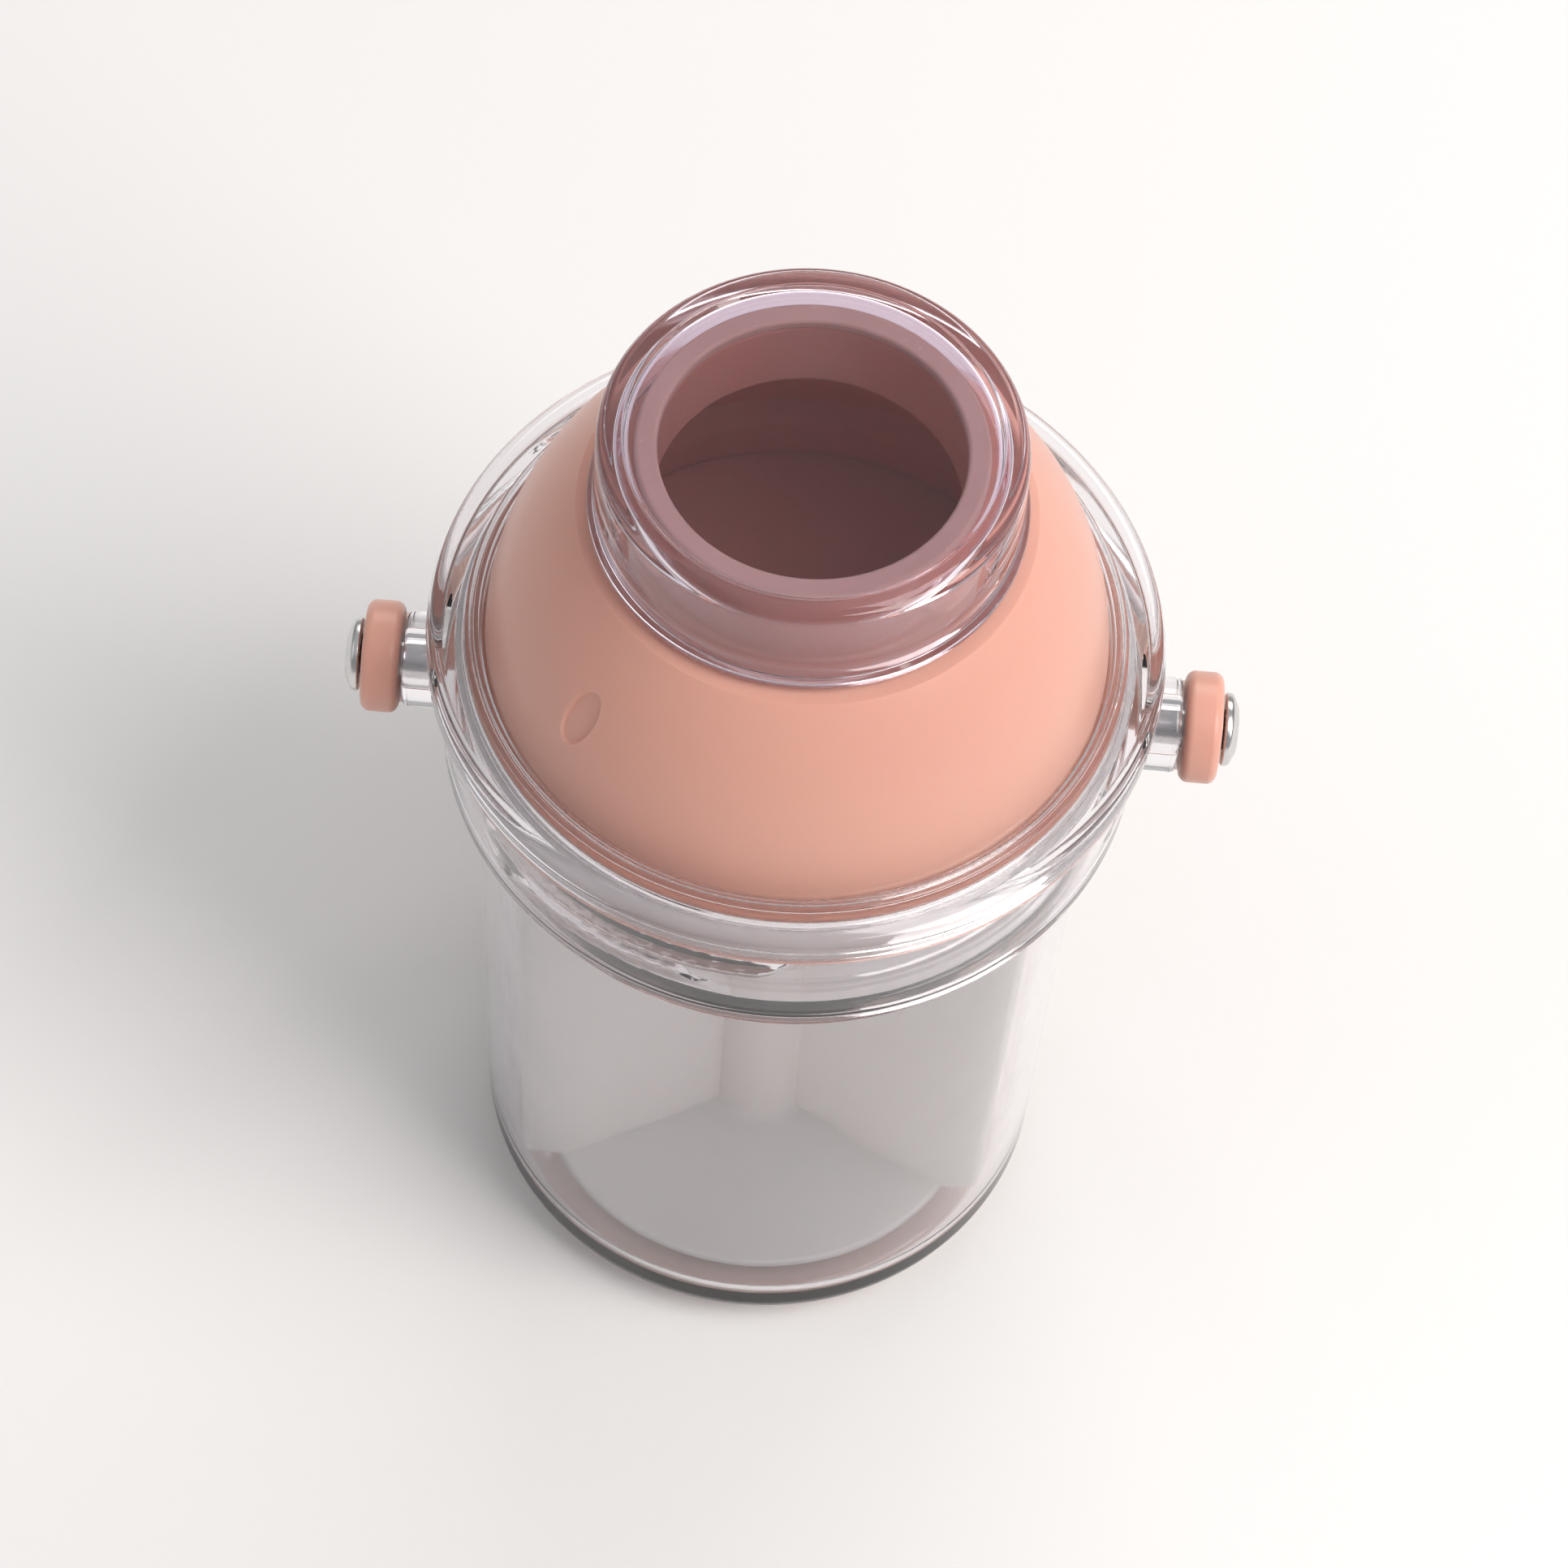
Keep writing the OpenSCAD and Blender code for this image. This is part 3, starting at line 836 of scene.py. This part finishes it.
def sweep(name, path, section_at):
    """Sweeps a section along a path in the XZ plane, its first axis outward, its second on Y."""
    verts, faces, n = [], [], len(section_at(0))
    for k, ((x, s), (ox, oz)) in enumerate(path):
        for out, across in section_at(k):
            verts.append((x + ox * out, across, PIVOT_Z + s + oz * out))
    for k in range(len(path) - 1):
        for i in range(n):
            j = (i + 1) % n
            faces.append([k * n + i, k * n + j, (k + 1) * n + j, (k + 1) * n + i])
    faces += [list(range(n)), [(len(path) - 1) * n + i for i in reversed(range(n))]]
    return new_mesh(name, verts, faces)


def to_rest(obj):
    """Turns an upright handle piece about its pivots to where it rests behind the cup."""
    pivot = Matrix.Translation((0, 0, PIVOT_Z * MM))
    turn = Matrix.Rotation(math.radians(-HANDLE_REST), 4, "X")
    return reshape(obj, pivot @ turn @ pivot.inverted())


def make_handle():
    """The channelled bail with its two turned eyes."""
    section = bar_section(HANDLE_W, HANDLE_T, HANDLE_EDGE, HANDLE_GROOVE)
    handle = sweep("bail_handle", bail_path(), lambda k: section)
    half, hole_r = HANDLE_T / 2, PIN_R + 0.08
    eye = rounded([(0, -half, 0), (EYE_R, -half, 0.9), (EYE_R, half, 0.9), (0, half, 0)], False)
    hole = [(0, -half - 1), (hole_r, -half - 1), (hole_r, half + 1), (0, half + 1)]
    for x in (-HANDLE_MID, HANDLE_MID):
        carve(handle, along_x(lathe("eye", eye, False, steps=96), x, PIVOT_Z), "UNION")
        carve(handle, along_x(lathe("hole", hole, False, steps=64), x, PIVOT_Z), "DIFFERENCE")
    finish_piece(to_rest(even_shading(handle)), PEACH, "handle", "handle")


def make_grip():
    """A soft sleeve round the top of the arch, with finger grooves and rounded ends."""
    steps, half = 150, math.radians(GRIP_ANGLE / 2)
    path = arch(math.pi / 2 + half, math.pi / 2 - half, steps)
    length = 2 * half * HANDLE_MID
    plain_end = 3.0

    def section(k):
        along = k / steps * length
        end = min(along, length - along)
        inset = GRIP_END * (1 - math.sqrt(max(0, 1 - (1 - min(end / GRIP_END, 1)) ** 2)))
        wave = 0.5 + 0.5 * math.cos(2 * math.pi * GRIP_RIBS * (k / steps - 0.5))
        dip = GRIP_RIB_DEEP * wave ** 3 if end > plain_end else 0
        over = GRIP_OVER - inset - dip
        return bar_section(HANDLE_W + 2 * over, HANDLE_T + 2 * over, GRIP_EDGE, steps=10)

    grip = even_shading(sweep("handle_sleeve", path, section), 50)
    finish_piece(to_rest(grip), SILICONE, "handle", "handle_grip")


# ---------------------------------------------------------------- spout cap

def make_cap():
    """The clear screw cap with its recessed top, and its liner."""
    recess = CAP_TOP - CAP_RECESS
    corners = [
        (0, recess, 0), (CAP_R - 3.0, recess, 0.4), (CAP_R - 2.5, CAP_TOP, 0.4),
        (CAP_R - 0.15, CAP_TOP, 1.4), (CAP_R, CAP_Z + 1.4, 0.5),
        (CAP_FLANGE_R, CAP_Z + 0.9, 0.4), (CAP_FLANGE_R, CAP_Z, 0.35), (CAP_IN, CAP_Z, 0.3),
        (CAP_IN, CAP_ROOF + AIR, 0.5), (0, CAP_ROOF + AIR, 0),
    ]
    middle = SPOUT_RIB_Z - CAP_LUG_DROP
    lugs = thread(SPOUT_STARTS, SPOUT_LEAD, middle, CAP_LUG_HALF_SPAN, -CAP_LUG_H,
                  *SPOUT_RIB_HALF)
    cap = ribbed("clear_spout_cap", corners, False, CAP_IN, middle - 2.5, middle + 2.5, lugs)
    finish_piece(even_shading(cap), CLEAR_CAP, "cap", "spout_cap")
    r0, r1 = SPOUT_IN - 0.15, SPOUT_R + 0.25
    seal = turned("cap_liner", [(r0, SPOUT_TOP + AIR, 0.3), (r1, SPOUT_TOP + AIR, 0.3),
                                (r1, CAP_ROOF - AIR, 0.4), (r0, CAP_ROOF - AIR, 0.4)])
    finish_piece(seal, SILICONE, "cap_ring", "cap_seal")


# ---------------------------------------------------------------- stage, light and camera

def make_stage():
    """A pale paper floor in a soft grey studio."""
    far = 3000
    corners = [(-far, -far, 0), (far, -far, 0), (far, far, 0), (-far, far, 0)]
    floor = new_mesh("floor", corners, [[0, 1, 2, 3]])
    paper = Shader("floor_paper", Roughness=0.7)
    paper.colour(paper.blend(paper.noise(6, 3), (0.80, 0.785, 0.775), (0.83, 0.815, 0.805)))
    paper.bumps((paper.noise(700, 4), 0.03))
    floor.data.materials.append(paper.material)
    world = bpy.data.worlds.new("studio")
    bpy.context.scene.world = world
    world.use_nodes = True
    nodes, links = world.node_tree.nodes, world.node_tree.links
    split = nodes.new("ShaderNodeSeparateXYZ")
    links.new(nodes.new("ShaderNodeTexCoord").outputs["Generated"], split.inputs[0])
    ramp = nodes.new("ShaderNodeValToRGB")
    stops = ramp.color_ramp.elements
    stops[0].position, stops[0].color = 0.02, (0.60, 0.60, 0.60, 1)
    stops[1].position, stops[1].color = 0.45, (0.46, 0.47, 0.49, 1)
    stops.new(0.95).color = (0.78, 0.79, 0.81, 1)
    links.new(split.outputs["Z"], ramp.inputs["Fac"])
    links.new(ramp.outputs["Color"], nodes["Background"].inputs["Color"])
    nodes["Background"].inputs["Strength"].default_value = 0.64
    bpy.context.scene.view_settings.view_transform = "Standard"


def soft_light(name, azimuth, elevation, distance, size, watts, colour):
    """An area light aimed at the dispenser's middle, placed by its bearing from the front."""
    target = Vector((0, 0, 0.06))
    a, e = math.radians(azimuth), math.radians(elevation)
    way = Vector((math.sin(a) * math.cos(e), -math.cos(a) * math.cos(e), math.sin(e)))
    light = bpy.data.lights.new(name, "AREA")
    light.shape, light.size, light.size_y = "RECTANGLE", size[0], size[1]
    light.energy, light.color = watts, colour
    obj = added(name, light)
    obj.location = target + way * distance
    obj.rotation_euler = (-way).to_track_quat("-Z", "Y").to_euler()


def make_lights():
    """A window on the right, a weak fill on the left and a light behind."""
    soft_light("window", 62, 48, 0.9, (0.5, 0.7), 7.6, (1.0, 0.97, 0.94))
    soft_light("fill", -75, 35, 1.1, (0.8, 0.8), 1.0, (0.96, 0.97, 1.0))
    soft_light("back", 170, 38, 1.0, (0.9, 0.4), 3.6, (1.0, 0.98, 0.96))


def make_camera(elevation=58.0, lean=5.0, distance=0.6, width=0.155):
    """Looks down on the front, as far off as a hand-held view, with the upright leaning right."""
    box = [Vector(v) for v in CAD_BOX]
    target = (box[0] + box[1]) / 2 + Vector((0, -0.004, 0))
    e = math.radians(elevation)
    way = Vector((0, -math.cos(e), math.sin(e)))
    lens = bpy.data.cameras.new("camera")
    lens.sensor_width = 36
    lens.lens = lens.sensor_width * distance / width
    lens.clip_start = 0.01
    obj = added("camera", lens)
    obj.location = target + way * distance
    aim = (-way).to_track_quat("-Z", "Y").to_matrix().to_4x4()
    obj.rotation_euler = (aim @ Matrix.Rotation(math.radians(lean), 4, "Z")).to_euler()
    bpy.context.scene.camera = obj


make_camera()
make_cup()
make_foot_pad()
make_divider()
make_selector()
make_funnel_lid()
make_lid_seal()
make_collar()
make_snap_ring()
make_pivot_pins()
make_handle()
make_grip()
make_cap()
make_stage()
make_lights()

cycles = bpy.context.scene.cycles
cycles.max_bounces = 24
cycles.diffuse_bounces = 10
cycles.transmission_bounces = 24
cycles.transparent_max_bounces = 24
cycles.glossy_bounces = 8
cycles.use_denoising = True
